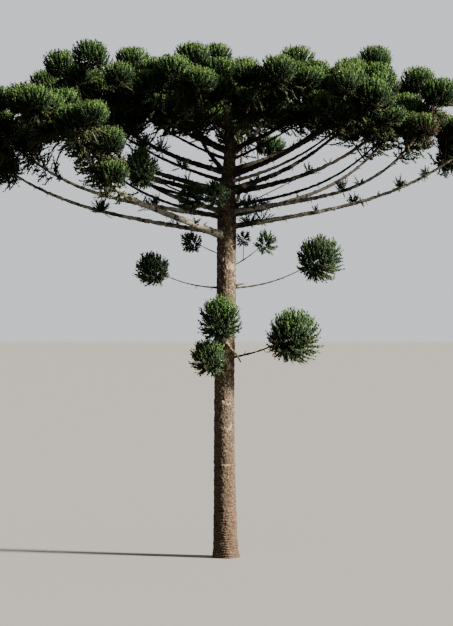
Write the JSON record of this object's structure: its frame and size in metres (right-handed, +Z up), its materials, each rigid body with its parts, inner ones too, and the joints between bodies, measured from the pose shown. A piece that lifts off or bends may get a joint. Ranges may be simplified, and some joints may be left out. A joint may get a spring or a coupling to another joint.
{
  "type": "parana pine tree",
  "caption": "Candelabra conifer: a straight bare trunk, tiers of level boughs that curl up at their ends into a wide flat-topped crown of leafy tufts, and young shoots low on the trunk.",
  "frame": {"origin": "middle of the flat cut under the trunk, at ground level", "axes": "+Z up along the trunk, +X to the right and +Y away from the viewer as the picture shows the tree"},
  "size_m": [15.0276, 11.5827, 14.268],
  "materials": {
    "trunk_bark": "rough bark in flaking plates, with fine rings near the foot",
    "bough_bark": "grey-brown bark with pale lichen",
    "crown_foliage": "stiff dark green pointed leaves, paler and yellower on top",
    "young_foliage": "fresh blue-green pointed leaves"
  },
  "bodies": {
    "root": {"trunk": "trunk_bark", "bough_tier1_a": "bough_bark", "bough_tier1_b": "bough_bark", "bough_tier1_c": "bough_bark", "bough_tier1_d": "bough_bark", "bough_tier2_a": "bough_bark", "bough_tier2_b": "bough_bark", "bough_tier2_c": "bough_bark", "bough_tier2_d": "bough_bark", "bough_tier3_a": "bough_bark", "bough_tier3_b": "bough_bark", "bough_tier3_c": "bough_bark", "bough_tier3_d": "bough_bark", "bough_tier4_a": "bough_bark", "bough_tier4_b": "bough_bark", "bough_tier4_c": "bough_bark", "bough_tier4_d": "bough_bark", "bough_tier5_a": "bough_bark", "bough_tier5_b": "bough_bark", "bough_tier5_c": "bough_bark", "bough_tier5_d": "bough_bark", "shoot_left_stem": "bough_bark", "shoot_right_stem": "bough_bark", "shoot_lower_right_stem": "bough_bark", "foliage_tier1_a": "crown_foliage", "foliage_tier1_b": "crown_foliage", "foliage_tier1_c": "crown_foliage", "foliage_tier1_d": "crown_foliage", "foliage_tier2_a": "crown_foliage", "foliage_tier2_b": "crown_foliage", "foliage_tier2_c": "crown_foliage", "foliage_tier2_d": "crown_foliage", "foliage_tier3_a": "crown_foliage", "foliage_tier3_b": "crown_foliage", "foliage_tier3_c": "crown_foliage", "foliage_tier3_d": "crown_foliage", "foliage_tier4_a": "crown_foliage", "foliage_tier4_b": "crown_foliage", "foliage_tier4_c": "crown_foliage", "foliage_tier4_d": "crown_foliage", "foliage_tier5_a": "crown_foliage", "foliage_tier5_b": "crown_foliage", "foliage_tier5_c": "crown_foliage", "foliage_tier5_d": "crown_foliage", "foliage_tier6_a": "crown_foliage", "foliage_tier6_b": "crown_foliage", "foliage_tier6_c": "crown_foliage", "foliage_tier6_d": "crown_foliage", "foliage_tier7_a": "crown_foliage", "foliage_tier7_b": "crown_foliage", "foliage_apex": "crown_foliage", "shoot_left_tuft": "young_foliage", "shoot_right_tuft": "young_foliage", "shoot_lower_right_tuft": "young_foliage", "shoot_front_tuft": "young_foliage", "shoot_front_low_tuft": "young_foliage", "shoot_upper_right_tuft": "young_foliage", "shoot_upper_left_tuft": "young_foliage", "shoot_crown_left_tuft": "young_foliage", "shoot_crown_front_tuft": "young_foliage"}
  },
  "joints": []
}
